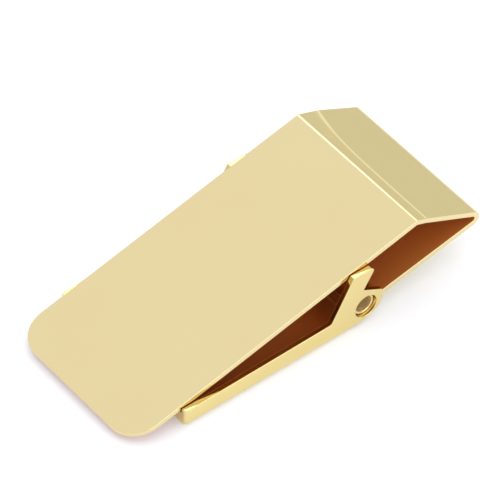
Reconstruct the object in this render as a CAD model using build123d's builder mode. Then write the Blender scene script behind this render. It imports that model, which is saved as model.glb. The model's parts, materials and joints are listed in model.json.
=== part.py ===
"""Hinged money clip: a folded spring strip, a channel-shaped lever arm and a tubular hinge pin.

Millimetres. X runs along the clip from the open tip (-X) to the fold (+X), Y across it and Z up.
The origin is the bottom centre of the whole clip, which lies on the flat web of its lever arm.
"""
import math
import os

from build123d import *

os.makedirs("parts", exist_ok=True)

# --- Driving dimensions: the whole clip --------------------------------------------------------
clip_length = 51.2
strip_width = 22.2
strip_sheet = 0.72
arm_sheet = 0.68
side_play = 0.1             # between each edge of the strip and the flange beside it

# --- Folded strip, in side view ----------------------------------------------------------------
plate_tilt = 13.1           # front plate, rising towards the fold
shoulder_tilt = 21.0        # top of the end wall, falling towards the fold
shoulder_run = 2.3          # end wall from the plate's bend to the shoulder, where it steepens
wall_tilt = 27.2            # rest of the end wall, falling towards the fold
wall_run = 7.31             # end wall from the shoulder to the fold
leg_tilt = 11.2             # return leg, rising towards the fold
fold_radius = 0.76          # middle of the sheet
fold_z = 5.94
bend_radius = 0.55          # middle of the sheet, plate to end wall
shoulder_radius = 4.0       # middle of the sheet
crest_radius = 0.5          # middle of the sheet, leg to knuckle
tip_corner = 3.9
flex_slit = 0.04            # parts the leg from the fold, so that the leg can spring
strip_round = 0.1

# --- Hinge ---------------------------------------------------------------------------------------
hinge_to_fold = 16.44       # hinge axis to the centre of the fold, along X
hinge_z = 2.78
lug_hole_radius = 1.55
pin_radius = 1.47
pin_bore_radius = 1.17
pin_recess = 0.5            # from the outside of each lug to the end of the pin
pin_rim = 0.06
knuckle_fit = 0.01
crest_reach = 2.87          # hinge axis to the leg's crest
knuckle_end_angle = 42

# --- Lever arm, in side view, measured from the hinge axis along X -------------------------------
arm_reach = 26.4
heel_x = -2.4               # where the arm's underside starts to rise
web_end = -1.33             # where the web is cut off, in front of the knuckle
flange_height = 2.97
flange_tip_height = 2.64
end_wall_height = 2.1
arm_bend = 0.9              # outside of the fold between web and flanges
arm_round = 0.12
arm_tip_bend = 0.5
lobe_x = 0.35
lobe_z = 3.13
lobe_radius = 2.07
lobe_shoulder_z = 4.12
notch_x = -0.35
notch_z = 5.68
finger_top = 8.56
finger_left = -1.83
finger_right = 1.5
finger_foot = -5.12
finger_tip_round = 0.42
finger_heel_round = 0.15
lobe_shoulder_round = 0.3
notch_round = 0.14
finger_foot_round = 0.35

# --- Derived places --------------------------------------------------------------------------------
half_strip = strip_width / 2
half_sheet = strip_sheet / 2
arm_half_inside = half_strip + side_play
arm_half_width = arm_half_inside + arm_sheet
fold_x = clip_length / 2 - fold_radius - half_sheet
hinge_x = fold_x - hinge_to_fold


def heading(degrees):
    """Unit vector in the side view, from +X towards +Z."""
    return Vector(math.cos(math.radians(degrees)), math.sin(math.radians(degrees)))


def rim_edges(sheet):
    """The longest edges of a sheet's two rims, from which a fillet runs on along the whole rim."""
    rims = sheet.faces().filter_by(Axis.Y).sort_by(Axis.Y)
    return [edge for rim in (rims[0], rims[-1]) for edge in rim.edges().sort_by(SortBy.LENGTH)[-2:]]


fold_centre = Vector(fold_x, fold_z)
wall_foot = fold_centre + heading(90 - wall_tilt) * fold_radius
shoulder_point = wall_foot + heading(180 - wall_tilt) * wall_run
bend_point = shoulder_point + heading(180 - shoulder_tilt) * shoulder_run
plate_heading = heading(plate_tilt)
tip_set_back = strip_round * (1 - plate_heading.X) + (half_sheet - strip_round) * plate_heading.Y
plate_run = (bend_point.X + clip_length / 2 - tip_set_back) / plate_heading.X
tip_point = bend_point - plate_heading * plate_run
leg_start = fold_centre + heading(leg_tilt - 90) * fold_radius

hinge_axis = Vector(hinge_x, hinge_z)
knuckle_radius = pin_radius + knuckle_fit + half_sheet
leg_to_crest = (leg_start.X - hinge_x - crest_reach) / heading(leg_tilt).X
crest_point = leg_start - heading(leg_tilt) * leg_to_crest
crest_from_hinge = crest_point - hinge_axis
crest_angle = math.degrees(math.atan2(crest_from_hinge.Y, crest_from_hinge.X))
wrap_start = crest_angle - math.degrees(math.acos(knuckle_radius / crest_from_hinge.length))
wrap_point = hinge_axis + heading(wrap_start) * knuckle_radius
wrap_sweep = knuckle_end_angle - 360 - wrap_start

# --- Front plate, slanted end wall and fold: one bent sheet ----------------------------------------
with BuildPart() as front_plate:
    with BuildSketch(Plane.XZ):
        with BuildLine() as plate_path:
            Polyline(tip_point, bend_point, shoulder_point, wall_foot)
            fillet(plate_path.vertices().sort_by_distance(bend_point)[0], bend_radius)
            fillet(plate_path.vertices().sort_by_distance(shoulder_point)[0], shoulder_radius)
            CenterArc(fold_centre, fold_radius, 90 - wall_tilt, leg_tilt + wall_tilt - 180)
        trace(line_width=strip_sheet)
    extrude(amount=half_strip, both=True)
    tip_face = front_plate.faces().sort_by(Axis.X)[0]
    fillet(tip_face.edges().sort_by(SortBy.LENGTH)[:2], tip_corner)
    fillet(rim_edges(front_plate), strip_round)
front_plate.part.label = "front_plate"
export_step(front_plate.part, "parts/front_plate.step")

# --- Spring leg: the strip's return leg, which turns down into the knuckle rolled round the pin ------
leg_end = leg_start - heading(leg_tilt) * flex_slit
with BuildPart() as spring_leg:
    with BuildSketch(Plane.XZ):
        with BuildLine() as leg_path:
            Polyline(leg_end, crest_point, wrap_point)
            fillet(leg_path.vertices().sort_by_distance(crest_point)[0], crest_radius)
            CenterArc(hinge_axis, knuckle_radius, wrap_start, wrap_sweep)
        trace(line_width=strip_sheet)
    extrude(amount=half_strip, both=True)
    fillet(rim_edges(spring_leg), strip_round)
spring_leg.part.label = "spring_leg"
export_step(spring_leg.part, "parts/spring_leg.step")

# --- Hinge pin: a plain tube, fixed in the knuckle and turning in the lugs ---------------------------
hinge_plane = Plane(origin=(hinge_x, 0, hinge_z), x_dir=(1, 0, 0), z_dir=(0, -1, 0))
with BuildPart() as hinge_pin:
    with BuildSketch(hinge_plane):
        Circle(pin_radius)
        Circle(pin_bore_radius, mode=Mode.SUBTRACT)
    extrude(amount=arm_half_width - pin_recess, both=True)
    chamfer(hinge_pin.edges().group_by(Axis.Y)[0] + hinge_pin.edges().group_by(Axis.Y)[-1], pin_rim)
hinge_pin.part.label = "hinge_pin"
export_step(hinge_pin.part, "parts/hinge_pin.step")

# --- Lever arm: a folded channel cut to the side view of its flanges, fingers and lugs ---------------
arm_plane = Plane(origin=(hinge_x, 0, 0), x_dir=(1, 0, 0), z_dir=(0, -1, 0))
arm_tip_x = hinge_x - arm_reach
shoulder_x = lobe_x + lobe_radius
half_arm_sheet = arm_sheet / 2
flange_middle = arm_half_width - half_arm_sheet
lobe_centre = Vector(lobe_x, lobe_z)
heel = Vector(heel_x, 0)
heel_to_lobe = lobe_centre - heel
lobe_bearing = math.atan2(heel_to_lobe.Y, heel_to_lobe.X)
under_angle = math.degrees(lobe_bearing - math.asin(lobe_radius / heel_to_lobe.length))
under_point = lobe_centre + heading(under_angle - 90) * lobe_radius

with BuildPart() as lever_arm:
    with BuildSketch(Plane.YZ.offset(arm_tip_x)):
        with BuildLine() as channel_path:
            Polyline(
                (-flange_middle, finger_top),
                (-flange_middle, half_arm_sheet),
                (flange_middle, half_arm_sheet),
                (flange_middle, finger_top),
            )
            fillet(channel_path.vertices().group_by(Axis.Y)[0], arm_bend - half_arm_sheet)
        trace(line_width=arm_sheet)
    extrude(amount=arm_reach + shoulder_x)
    with BuildSketch(arm_plane) as side_view:
        with BuildLine():
            Polyline((-arm_reach, 0), heel, under_point)
            CenterArc(lobe_centre, lobe_radius, under_angle - 90, 90 - under_angle)
            Polyline(
                (shoulder_x, lobe_z),
                (shoulder_x, lobe_shoulder_z),
                (notch_x, notch_z),
                (finger_right, finger_top),
                (finger_left, finger_top),
                (finger_foot, flange_height),
                (-arm_reach, flange_tip_height),
                (-arm_reach, 0),
            )
        make_face()
        rounded = {
            (shoulder_x, lobe_shoulder_z): lobe_shoulder_round,
            (notch_x, notch_z): notch_round,
            (finger_right, finger_top): finger_tip_round,
            (finger_left, finger_top): finger_heel_round,
            (finger_foot, flange_height): finger_foot_round,
        }
        for corner, corner_round in rounded.items():
            fillet(side_view.vertices().sort_by_distance(corner)[0], corner_round)
    extrude(amount=arm_half_width, both=True, mode=Mode.INTERSECT)
    with BuildSketch(arm_plane):
        with Locations((web_end, 0)):
            Rectangle(shoulder_x - web_end, arm_bend, align=(Align.MIN, Align.MIN))
    extrude(amount=arm_half_inside, both=True, mode=Mode.SUBTRACT)
    with BuildSketch(hinge_plane):
        Circle(lug_hole_radius)
    extrude(amount=arm_half_width, both=True, mode=Mode.SUBTRACT)
    with BuildSketch(arm_plane):
        with Locations((-arm_reach, half_arm_sheet)):
            Rectangle(arm_sheet, end_wall_height - half_arm_sheet, align=(Align.MIN, Align.MIN))
    extrude(amount=arm_half_inside, both=True)
    tip_foot = lever_arm.edges().filter_by(Axis.Y).group_by(Axis.X)[0].sort_by(Axis.Z)[0]
    fillet(tip_foot, arm_tip_bend)
    sides = lever_arm.faces().filter_by(Axis.Y).group_by(Axis.Y)
    fillet(sides[0].edges() + sides[-1].edges(), arm_round)
lever_arm.part.label = "lever_arm"
export_step(lever_arm.part, "parts/lever_arm.step")

for piece in (front_plate, spring_leg, hinge_pin, lever_arm):
    print(piece.part.label, piece.part.bounding_box(), round(piece.part.volume, 2), len(piece.part.solids()))
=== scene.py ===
"""The polished money clip on a white table: its seamless bent strip, materials, floor, lights and camera."""
import json
import math

import bpy
from mathutils import Matrix, Vector


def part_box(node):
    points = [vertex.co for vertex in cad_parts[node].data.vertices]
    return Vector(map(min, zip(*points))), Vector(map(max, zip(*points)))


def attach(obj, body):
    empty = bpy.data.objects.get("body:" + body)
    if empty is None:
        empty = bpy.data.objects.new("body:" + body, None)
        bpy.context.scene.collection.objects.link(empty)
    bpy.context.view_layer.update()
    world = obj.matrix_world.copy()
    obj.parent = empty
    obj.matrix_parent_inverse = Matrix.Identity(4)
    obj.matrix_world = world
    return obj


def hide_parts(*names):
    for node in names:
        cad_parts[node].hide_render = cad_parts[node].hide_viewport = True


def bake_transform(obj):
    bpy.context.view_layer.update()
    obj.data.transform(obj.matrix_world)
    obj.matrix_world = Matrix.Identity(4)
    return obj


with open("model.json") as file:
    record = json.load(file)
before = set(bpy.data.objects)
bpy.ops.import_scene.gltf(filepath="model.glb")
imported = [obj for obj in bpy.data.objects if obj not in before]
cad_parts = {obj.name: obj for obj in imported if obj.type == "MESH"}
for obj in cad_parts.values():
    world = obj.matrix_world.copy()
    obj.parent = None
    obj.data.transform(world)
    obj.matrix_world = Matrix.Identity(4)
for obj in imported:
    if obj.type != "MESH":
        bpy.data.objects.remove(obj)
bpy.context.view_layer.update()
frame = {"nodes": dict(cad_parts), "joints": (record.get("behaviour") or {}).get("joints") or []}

MM = 0.001

# --- The strip in side view: millimetres and degrees ---------------------------------------------
strip_sheet = 0.72
plate_tilt = 13.1           # front plate, rising towards the fold
shoulder_tilt = 21.0        # top of the end wall, falling towards the fold
shoulder_run = 2.3          # end wall from the plate's bend to the shoulder, where it steepens
wall_tilt = 27.2            # rest of the end wall, falling towards the fold
wall_run = 7.31             # end wall from the shoulder to the fold
leg_tilt = 11.2             # return leg, rising towards the fold
fold_radius = 0.76          # radii are those of the middle of the sheet
bend_radius = 0.55
shoulder_radius = 4.0
crest_radius = 0.5
knuckle_radius = 1.84
crest_reach = 2.87          # hinge axis to the leg's crest
knuckle_end_angle = 42
tip_corner = 3.9
edge_round = 0.1

# The shoulder curves across the clip: it is close to the bend at the near edge and leaves it at the far one.
near_shoulder_run = 1.36
far_shoulder_run = 3.1
shoulder_sweep = 5          # power of its curve across the clip

# --- How finely the sheet is meshed ----------------------------------------------------------------
bend_step = 4               # degrees from one row to the next round a bend
longest_row = 3.0           # millimetres from one row to the next along a straight
wall_row = 0.12             # the same on the end wall, for its curved shoulder
corner_steps = 14
columns = 32
edge_steps = 4
sharp_angle = 50            # degrees between faces, above which an edge is drawn sharp

# --- The arm's sheet, for telling its inside faces from its outside --------------------------------
arm_sheet = 0.68
face_margin = 0.05

joints = {joint["name"]: Vector(joint["pos_m"]) / MM for joint in frame["joints"]}
hinge_axis = Vector((joints["arm_pivot"].x, joints["arm_pivot"].z))
fold_centre = Vector((joints["leaf_flex"].x, joints["leaf_flex"].z))
half_sheet = strip_sheet / 2
half_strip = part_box("front_plate")[1].y / MM
tip_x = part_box("front_plate")[0].x / MM


def heading(degrees):
    """Unit vector in the side view, from +X towards +Z."""
    return Vector((math.cos(math.radians(degrees)), math.sin(math.radians(degrees))))


def bearing(vector):
    return math.degrees(math.atan2(vector.y, vector.x))


def set_back(radius, turn):
    """How far an arc starts before the corner that it rounds."""
    return radius * math.tan(math.radians(abs(turn)) / 2)


class Route:
    """The middle of the sheet in side view: straights and arcs, end to end, measured along s."""

    def __init__(self, start, degrees):
        self.point, self.degrees, self.length = start, degrees, 0.0
        self.pieces = []
        self.row_places = [0.0]

    def add(self, length, turn, row_count):
        self.pieces.append((self.length, length, self.point, self.degrees, turn))
        self.row_places += [self.length + length * (row + 1) / row_count for row in range(row_count)]
        self.point, self.degrees = self.at(self.length + length)
        self.length += length

    def straight(self, length, row=longest_row):
        self.add(length, 0, math.ceil(length / row))

    def bend(self, radius, turn):
        """Turns left for a positive turn and right for a negative one."""
        self.add(radius * math.radians(abs(turn)), turn, math.ceil(abs(turn) / bend_step))

    def at(self, s):
        """The point and the direction at s; before the start and after the end the route runs straight on."""
        first, length, point, degrees, turn = [p for p in self.pieces if p[0] <= max(s, 0)][-1]
        along = s - first
        if turn == 0:
            return point + heading(degrees) * along, degrees
        radius = length / math.radians(abs(turn))
        side = math.copysign(90, turn)
        centre = point + heading(degrees + side) * radius
        turned = turn * along / length
        return centre - heading(degrees + side + turned) * radius, degrees + turned

    def rows(self, first, last):
        """Where the mesh has its rows, from first to last: close together round the bends."""
        between = [s for s in self.row_places if first < s < last - edge_round]
        return [first, *between, last]


def strip_route():
    """From the tip up the plate, down the wall, round the fold and along the leg into the knuckle."""
    wall_foot = fold_centre + heading(90 - wall_tilt) * fold_radius
    shoulder_point = wall_foot + heading(180 - wall_tilt) * wall_run
    bend_point = shoulder_point + heading(180 - shoulder_tilt) * shoulder_run
    plate = heading(plate_tilt)
    tip_set_back = edge_round * (1 - plate.x) + (half_sheet - edge_round) * plate.y
    plate_run = (bend_point.x - tip_x - tip_set_back) / plate.x
    bend_turn = plate_tilt + shoulder_tilt
    at_bend = set_back(bend_radius, bend_turn)
    shoulder_turn = wall_tilt - shoulder_tilt
    at_shoulder = set_back(shoulder_radius, shoulder_turn)
    leg_start = fold_centre + heading(leg_tilt - 90) * fold_radius
    leg_run = (leg_start.x - hinge_axis.x - crest_reach) / heading(leg_tilt).x
    crest = leg_start - heading(leg_tilt) * leg_run
    from_hinge = crest - hinge_axis
    wrap_start = bearing(from_hinge) - math.degrees(math.acos(knuckle_radius / from_hinge.length))
    wrap_point = hinge_axis + heading(wrap_start) * knuckle_radius
    crest_turn = bearing(crest - wrap_point) - leg_tilt
    at_crest = set_back(crest_radius, crest_turn)

    route = Route(bend_point - plate * plate_run, plate_tilt)
    route.straight(plate_run - at_bend)
    route.bend(bend_radius, -bend_turn)
    wall_start = route.length - at_bend
    route.straight(shoulder_run - at_bend - at_shoulder, wall_row)
    route.bend(shoulder_radius, -shoulder_turn)
    route.straight(wall_run - at_shoulder, wall_row)
    route.bend(fold_radius, wall_tilt + leg_tilt - 180)
    route.straight(leg_run - at_crest)
    crest_start = route.length
    route.bend(crest_radius, crest_turn)
    seam = (crest_start + route.length) / 2
    route.straight((crest - wrap_point).length - at_crest)
    route.bend(knuckle_radius, knuckle_end_angle - 360 - wrap_start)
    return route, seam, wall_start


def wall_drop(along, run):
    """How far the end wall has fallen below the line of its top, with the shoulder at run."""
    turn = math.radians(wall_tilt - shoulder_tilt)
    soft = set_back(shoulder_radius, wall_tilt - shoulder_tilt)
    past = along - run
    if abs(past) < soft:
        past = (past + soft) ** 2 / (4 * soft)
    return wall_run * math.tan(turn) * max(past, 0) / (shoulder_run + wall_run - run)


def shoulder_lift(along, y):
    """How far the curved shoulder lifts the end wall above one with a straight shoulder."""
    if not 0 < along < shoulder_run + wall_run:
        return 0.0
    across = (y + half_strip) / (2 * half_strip)
    run = near_shoulder_run + (far_shoulder_run - near_shoulder_run) * across**shoulder_sweep
    return wall_drop(along, shoulder_run) - wall_drop(along, run)


def bent_sheet(name, route, first, last, tip_corners):
    """A stretch of the strip, drawn flat with rounded edges and then bent along the route.

    With tip_corners, the blank starts at the strip's tip, whose corners and edge are rounded.
    """
    inset_corner = tip_corner - edge_round
    rows = []
    if tip_corners:
        for step in range(corner_steps + 1):
            turn = math.radians(90 * step / corner_steps)
            reach = half_strip - tip_corner + inset_corner * math.sin(turn)
            rows.append((tip_corner - inset_corner * math.cos(turn), reach, -math.cos(turn), math.sin(turn)))
        first = tip_corner + longest_row
    for s in route.rows(first, last):
        rows.append((s, half_strip - edge_round, 0.0, 1.0))
    if not tip_corners:
        rows[-1] = (last - edge_round, half_strip - edge_round, 1.0, 1.0)

    across = [2 * column / columns - 1 for column in range(columns + 1)]
    rim = (
        [(row, 0) for row in range(len(rows))]
        + [(len(rows) - 1, column) for column in range(1, columns)]
        + [(row, columns) for row in reversed(range(len(rows)))]
        + [(0, column) for column in reversed(range(1, columns))]
    )

    def outwards(row, column):
        """Which way the blank's outline faces at a point of its rim, along s and across."""
        _, _, along, sideways = rows[row]
        if column in (0, columns):
            return along, sideways * across[column]
        return along, 0.0

    def place(s, y, height):
        point, degrees = route.at(s)
        point = point + heading(degrees + 90) * (height + shoulder_lift(s - wall_start, y))
        return Vector((point.x, y, point.y)) * MM

    points, faces, inside = [], [], []
    grids = []
    for side in (1, -1):
        grids.append(len(points))
        for s, reach, _, _ in rows:
            points += [place(s, reach * share, side * half_sheet) for share in across]
    for grid, side in zip(grids, (1, -1)):
        for row in range(len(rows) - 1):
            for column in range(columns):
                corner = grid + row * (columns + 1) + column
                face = [corner, corner + columns + 1, corner + columns + 2, corner + 1]
                faces.append(face[::side])
                inside.append(side < 0)

    def rim_loop(angle, side):
        """The rim, moved outwards by the rounding at this angle."""
        out = edge_round * math.sin(angle)
        height = side * (half_sheet - edge_round * (1 - math.cos(angle)))
        loop = []
        for row, column in rim:
            s, reach, _, _ = rows[row]
            along, sideways = outwards(row, column)
            loop.append(len(points))
            points.append(place(s + along * out, reach * across[column] + sideways * out, height))
        return loop

    angles = [math.radians(90 * (step + 1) / edge_steps) for step in range(edge_steps)]
    loops = [[grids[0] + row * (columns + 1) + column for row, column in rim]]
    loops += [rim_loop(angle, 1) for angle in angles]
    loops += [rim_loop(angle, -1) for angle in reversed(angles)]
    loops.append([grids[1] + row * (columns + 1) + column for row, column in rim])
    for upper, lower in zip(loops, loops[1:]):
        for here in range(len(rim)):
            there = (here + 1) % len(rim)
            faces.append([upper[here], upper[there], lower[there], lower[here]])
            inside.append(False)

    mesh = bpy.data.meshes.new(name)
    mesh.from_pydata(points, [], faces)
    mesh.polygons.foreach_set("use_smooth", [True] * len(faces))
    # Faces on the strip's inner side, facing into the hollow, get the painted-shade copy of the gold.
    mesh.materials.append(strip_gold)
    mesh.materials.append(shaded_inside_gold)
    mesh.polygons.foreach_set("material_index", [int(flag) for flag in inside])
    mesh.set_sharp_from_angle(angle=math.radians(sharp_angle))
    mesh.validate()
    sheet = bpy.data.objects.new(name, mesh)
    bpy.context.collection.objects.link(sheet)
    even = sheet.modifiers.new("even_shading", "WEIGHTED_NORMAL")
    even.keep_sharp = True
    even.weight = 100
    return sheet


# --- Materials ---------------------------------------------------------------------------------
def new_material(name):
    material = bpy.data.materials.new(name)
    material.use_nodes = True
    nodes = material.node_tree.nodes
    nodes.clear()
    output = nodes.new("ShaderNodeOutputMaterial")
    shader = nodes.new("ShaderNodeBsdfPrincipled")
    material.node_tree.links.new(shader.outputs["BSDF"], output.inputs["Surface"])
    return material, nodes, material.node_tree.links, shader


def within(nodes, links, tests):
    """1 where every test holds: each is a socket, LESS_THAN or GREATER_THAN, and a limit."""
    found = None
    for socket, comparison, limit in tests:
        test = nodes.new("ShaderNodeMath")
        test.operation = comparison
        test.inputs[1].default_value = limit
        links.new(socket, test.inputs[0])
        if found:
            both = nodes.new("ShaderNodeMath")
            both.operation = "MULTIPLY"
            links.new(found, both.inputs[0])
            links.new(test.outputs["Value"], both.inputs[1])
            found = both.outputs["Value"]
        else:
            found = test.outputs["Value"]
    return found


cloud_scale = 90.0          # noise scales are per metre
haze_scale = 900.0
haze_spread = 0.3           # share of the roughness
ripple_scale = 160.0
ripple_strength = 0.02
ripple_height = 0.05        # millimetres


def polished_gold(name, base, deep, roughness, metallic=1.0, inner=None):
    """Mirror-polished gold plate: faint cloudiness in its colour, fine polishing haze and soft ripples.

    Where the mask that inner() makes is 1, the colour is painted shade: a duller, redder copy of the same
    gold that stands in for the shade and reflections inside the clip's hollow.
    """
    material, nodes, links, shader = new_material(name)
    place = nodes.new("ShaderNodeTexCoord")

    cloud = nodes.new("ShaderNodeTexNoise")
    cloud.inputs["Scale"].default_value = cloud_scale
    cloud.inputs["Detail"].default_value = 3.0
    links.new(place.outputs["Object"], cloud.inputs["Vector"])
    tint = nodes.new("ShaderNodeMix")
    tint.data_type = "RGBA"
    tint.inputs["A"].default_value = (*base, 1)
    tint.inputs["B"].default_value = (*deep, 1)
    links.new(cloud.outputs["Fac"], tint.inputs["Factor"])
    colour = tint.outputs["Result"]

    haze = nodes.new("ShaderNodeTexNoise")
    haze.inputs["Scale"].default_value = haze_scale
    haze.inputs["Detail"].default_value = 4.0
    links.new(place.outputs["Object"], haze.inputs["Vector"])
    haze_range = nodes.new("ShaderNodeMapRange")
    haze_range.inputs["To Min"].default_value = roughness * (1 - haze_spread)
    haze_range.inputs["To Max"].default_value = roughness * (1 + haze_spread)
    links.new(haze.outputs["Fac"], haze_range.inputs["Value"])
    shine = haze_range.outputs["Result"]

    shader.inputs["Metallic"].default_value = metallic
    if inner:
        parts = nodes.new("ShaderNodeSeparateXYZ")
        links.new(place.outputs["Object"], parts.inputs["Vector"])
        mask = inner(nodes, links, parts)
        # Painted shade: the masked faces take a darker, redder colour standing in for the shade and
        # gold-tinted reflections inside the hollow.
        painted_shade_tint = nodes.new("ShaderNodeMix")
        painted_shade_tint.data_type = "RGBA"
        painted_shade_tint.inputs["B"].default_value = (*painted_shade_base, 1)
        links.new(mask, painted_shade_tint.inputs["Factor"])
        links.new(colour, painted_shade_tint.inputs["A"])
        colour = painted_shade_tint.outputs["Result"]
        inner_shine = nodes.new("ShaderNodeMix")
        inner_shine.inputs["B"].default_value = inside_roughness
        links.new(mask, inner_shine.inputs["Factor"])
        links.new(shine, inner_shine.inputs["A"])
        shine = inner_shine.outputs["Result"]
        inner_metal = nodes.new("ShaderNodeMix")
        inner_metal.inputs["A"].default_value = metallic
        inner_metal.inputs["B"].default_value = inside_metallic
        links.new(mask, inner_metal.inputs["Factor"])
        links.new(inner_metal.outputs["Result"], shader.inputs["Metallic"])
    links.new(colour, shader.inputs["Base Color"])
    links.new(shine, shader.inputs["Roughness"])

    ripple = nodes.new("ShaderNodeTexNoise")
    ripple.inputs["Scale"].default_value = ripple_scale
    ripple.inputs["Detail"].default_value = 1.0
    links.new(place.outputs["Object"], ripple.inputs["Vector"])
    bump = nodes.new("ShaderNodeBump")
    bump.inputs["Strength"].default_value = ripple_strength
    bump.inputs["Distance"].default_value = ripple_height * MM
    links.new(ripple.outputs["Fac"], bump.inputs["Height"])
    links.new(bump.outputs["Normal"], shader.inputs["Normal"])
    return material


arm_low, arm_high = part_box("lever_arm")


def shaded_arm_inside(nodes, links, parts):
    """The faces of the web, flanges and fingers that look into the channel, which get the painted shade."""
    beside = nodes.new("ShaderNodeMath")
    beside.operation = "ABSOLUTE"
    links.new(parts.outputs["Y"], beside.inputs[0])
    sheet = (arm_sheet - face_margin) * MM
    return within(nodes, links, [
        (beside.outputs["Value"], "LESS_THAN", arm_high.y - sheet),
        (parts.outputs["X"], "GREATER_THAN", arm_low.x + sheet),
        (parts.outputs["Z"], "GREATER_THAN", arm_low.z + sheet),
    ])


# Painted shade for the faces inside the clip's hollow: a darker, redder, less metallic copy of the gold,
# standing in for the shade and the many reflections between facing sheets.
painted_shade_base = (0.69, 0.25, 0.055)
painted_shade_deep = (0.65, 0.23, 0.05)
inside_roughness = 0.32
inside_metallic = 0.55
strip_gold = polished_gold("strip_gold", (0.80, 0.68, 0.37), (0.79, 0.66, 0.35), 0.10)
shaded_inside_gold = polished_gold("shaded_inside_gold", painted_shade_base, painted_shade_deep, inside_roughness, inside_metallic)
# The arm's faces inside the channel get the same painted shade.
arm_gold = polished_gold("arm_gold", (0.80, 0.655, 0.29), (0.78, 0.635, 0.27), 0.10, inner=shaded_arm_inside)
pin_gold = polished_gold("pin_gold", (0.92, 0.74, 0.42), (0.88, 0.68, 0.36), 0.25, 0.6)


def dress(node, material):
    node.data.materials.clear()
    node.data.materials.append(material)


# --- The pieces ------------------------------------------------------------------------------------
route, seam, wall_start = strip_route()
spring_strip = bent_sheet("spring_strip", route, 0, seam, True)
hinge_knuckle = bent_sheet("hinge_knuckle", route, seam, route.length, False)
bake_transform(spring_strip)
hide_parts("front_plate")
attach(hinge_knuckle, "spring_leg")
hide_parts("spring_leg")
dress(frame["nodes"]["lever_arm"], arm_gold)
dress(frame["nodes"]["hinge_pin"], pin_gold)


# --- Floor ---------------------------------------------------------------------------------------
floor_gap = 0.02            # millimetres: keeps the floor clear of the face that rests on it
floor_side = 3              # metres
floor_base = (0.78, 0.79, 0.82)
floor_glow = (0.88, 0.93, 1.0)
floor_glow_strength = 0.24
floor_roughness = 0.6


def make_floor():
    material, nodes, links, shader = new_material("floor_white")
    shader.inputs["Base Color"].default_value = (*floor_base, 1)
    shader.inputs["Roughness"].default_value = floor_roughness
    shader.inputs["Emission Color"].default_value = (*floor_glow, 1)
    shader.inputs["Emission Strength"].default_value = floor_glow_strength
    bpy.ops.mesh.primitive_plane_add(size=floor_side, location=(0, 0, -floor_gap * MM))
    floor = bpy.context.object
    floor.name = "floor"
    floor.data.materials.append(material)


make_floor()


# --- Light ---------------------------------------------------------------------------------------
# Height of the direction, brightness there, and its blue against its red.
sky_stops = (
    (0.11, 0.78, 0.90),
    (0.14, 1.15, 0.97),
    (0.20, 1.15, 0.97),
    (0.22, 0.76, 0.90),
    (0.27, 0.76, 0.90),
    (0.60, 1.00, 1.04),
)
sky_strength = 1.02


def softbox(name, direction, distance, size, radiance, mirrored=True):
    """A soft panel that faces the clip. Its radiance is what a mirror would show."""
    lamp = bpy.data.lights.new(name, "AREA")
    lamp.shape = "RECTANGLE"
    lamp.size, lamp.size_y = size
    lamp.energy = radiance * math.pi * size[0] * size[1]
    holder = bpy.data.objects.new(name, lamp)
    bpy.context.collection.objects.link(holder)
    towards = Vector(direction).normalized()
    holder.location = towards * distance
    holder.rotation_euler = (-towards).to_track_quat("-Z", "Y").to_euler()
    holder.visible_glossy = mirrored


def make_sky():
    """White overhead, greyer towards the horizon, with one thin bright strip low down."""
    world = bpy.data.worlds.new("studio")
    world.use_nodes = True
    nodes, links = world.node_tree.nodes, world.node_tree.links
    place = nodes.new("ShaderNodeTexCoord")
    parts = nodes.new("ShaderNodeSeparateXYZ")
    links.new(place.outputs["Generated"], parts.inputs["Vector"])
    ramp = nodes.new("ShaderNodeValToRGB")
    links.new(parts.outputs["Z"], ramp.inputs["Fac"])
    stops = ramp.color_ramp.elements
    for height, brightness, blue in sky_stops:
        stop = stops.new(height)
        stop.color = (brightness, brightness, brightness * blue, 1)
    stops.remove(stops[0])
    stops.remove(stops[-1])
    links.new(ramp.outputs["Color"], nodes["Background"].inputs["Color"])
    nodes["Background"].inputs["Strength"].default_value = sky_strength
    bpy.context.scene.world = world
    bpy.context.scene.view_settings.view_transform = "Standard"


make_sky()
softbox("back_softbox", (0.42, 0.546, 0.725), 0.5, (0.10, 0.10), 1.6)
softbox("front_softbox", (0.11, -0.80, 0.586), 0.5, (0.5, 0.2), 1.5)
softbox("top_softbox", (0, 0, 1), 1.0, (1.0, 1.0), 0.6, mirrored=False)


# --- Camera: degrees and millimetres -----------------------------------------------------------------
camera_azimuth = -37.57
camera_elevation = 46.38
camera_roll = -0.646
camera_target = (2.03, 2.22, 4.56)
camera_distance = 622.84
camera_lens = 385.6


def make_camera():
    """A long lens from the front left, looking steeply down."""
    azimuth, elevation, roll = map(math.radians, (camera_azimuth, camera_elevation, camera_roll))
    target = Vector(camera_target) * MM
    distance = camera_distance * MM
    back = Vector((
        math.sin(azimuth) * math.cos(elevation),
        -math.cos(azimuth) * math.cos(elevation),
        math.sin(elevation),
    ))
    right = Vector((math.cos(azimuth), math.sin(azimuth), 0))
    up = back.cross(right)
    right, up = (
        math.cos(roll) * right + math.sin(roll) * up,
        math.cos(roll) * up - math.sin(roll) * right,
    )
    lens = bpy.data.cameras.new("camera")
    lens.sensor_width = 36
    lens.lens = camera_lens
    lens.clip_start = 0.01
    holder = bpy.data.objects.new("camera", lens)
    bpy.context.collection.objects.link(holder)
    turn = Matrix((right, up, back)).transposed().to_4x4()
    holder.matrix_world = Matrix.Translation(target + back * distance) @ turn
    bpy.context.scene.camera = holder


make_camera()
